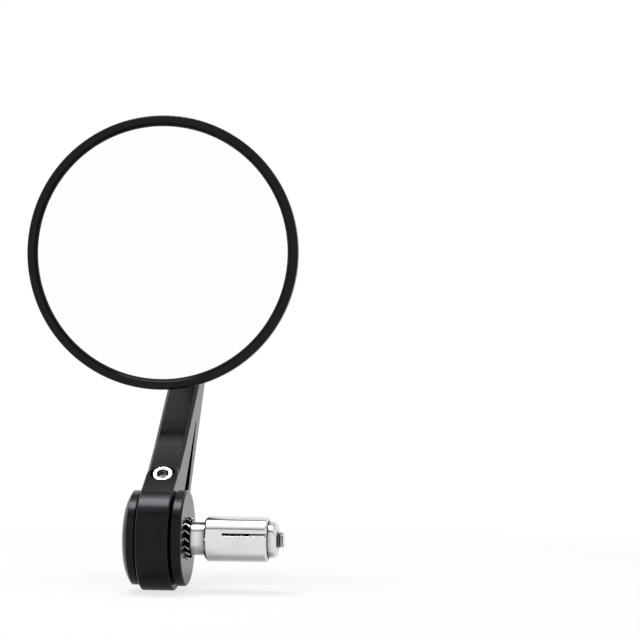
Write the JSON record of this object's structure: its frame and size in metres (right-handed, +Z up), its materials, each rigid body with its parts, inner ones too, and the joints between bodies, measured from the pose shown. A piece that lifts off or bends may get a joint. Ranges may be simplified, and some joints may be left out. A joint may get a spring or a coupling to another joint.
{
  "type": "motorcycle bar end mirror",
  "caption": "Round convex mirror on a sprung ball joint at the top of a bent arm that clamps on the hub of an expanding handlebar end plug.",
  "frame": {"origin": "centre of the flange's bar-side face, on the hub's axis", "axes": "+X along the expander into the handlebar, +Y forward, away from the glass's face, +Z up"},
  "size_m": [0.102, 0.0892, 0.1734],
  "materials": {
    "black_anodised": "black satin anodised",
    "black_steel": "blackened",
    "bright_aluminium": "polished",
    "steel": "bright",
    "seat_plastic": "natural",
    "bonding": "foam pad",
    "gasket": "black",
    "mirror": "silvered convex glass"
  },
  "bodies": {
    "bar_mount": {"hub": "black_anodised", "end_cap": "black_anodised", "lock_washer": "black_steel", "expander_sleeve": "bright_aluminium"},
    "bolt": {"expander_bolt": "steel"},
    "nut": {"cone_nut": "bright_aluminium"},
    "arm": {"arm": "black_anodised", "pinch_screw": "steel", "ball_stud": "steel"},
    "seat_rear": {"ball_seat_rear": "seat_plastic"},
    "seat_front": {"ball_seat_front": "seat_plastic"},
    "mirror_head": {"mirror_shell": "black_anodised", "pressure_cup": "steel", "seat_spring": "steel", "spring_retainer": "steel", "retainer_screws": "steel", "adhesive_pad": "bonding", "glass_gasket": "gasket", "mirror_glass": "mirror"}
  },
  "joints": [
    {"name": "arm_swivel", "type": "hinge", "parent": "bar_mount", "child": "arm", "pos_m": [0, 0, 0], "axis": [1, 0, 0], "continuous": true},
    {"name": "mirror_tilt", "type": "hinge", "parent": "arm", "child": "seat_rear", "pos_m": [-0.01025, 0.04375, 0.11678], "axis": [1, 0, 0], "range_deg": [-9, 11]},
    {"name": "mirror_pan", "type": "hinge", "parent": "seat_rear", "child": "seat_front", "pos_m": [-0.01025, 0.04375, 0.11678], "axis": [0, 0, 1], "range_deg": [-12, 12]},
    {"name": "mirror_spin", "type": "hinge", "parent": "seat_front", "child": "mirror_head", "pos_m": [-0.01025, 0.04375, 0.11678], "axis": [0, 1, 0], "continuous": true},
    {"name": "bolt_turn", "type": "hinge", "parent": "bar_mount", "child": "bolt", "pos_m": [0, 0, 0], "axis": [1, 0, 0], "range_deg": [-360, 432]},
    {"name": "nut_draw", "type": "slide", "parent": "bar_mount", "child": "nut", "axis": [1, 0, 0], "range_m": [-0.00121, 0.00101]}
  ],
  "couplings": [
    {"joint": "nut_draw", "follows": "bolt_turn", "m_per_rad": -0.00015915}
  ]
}
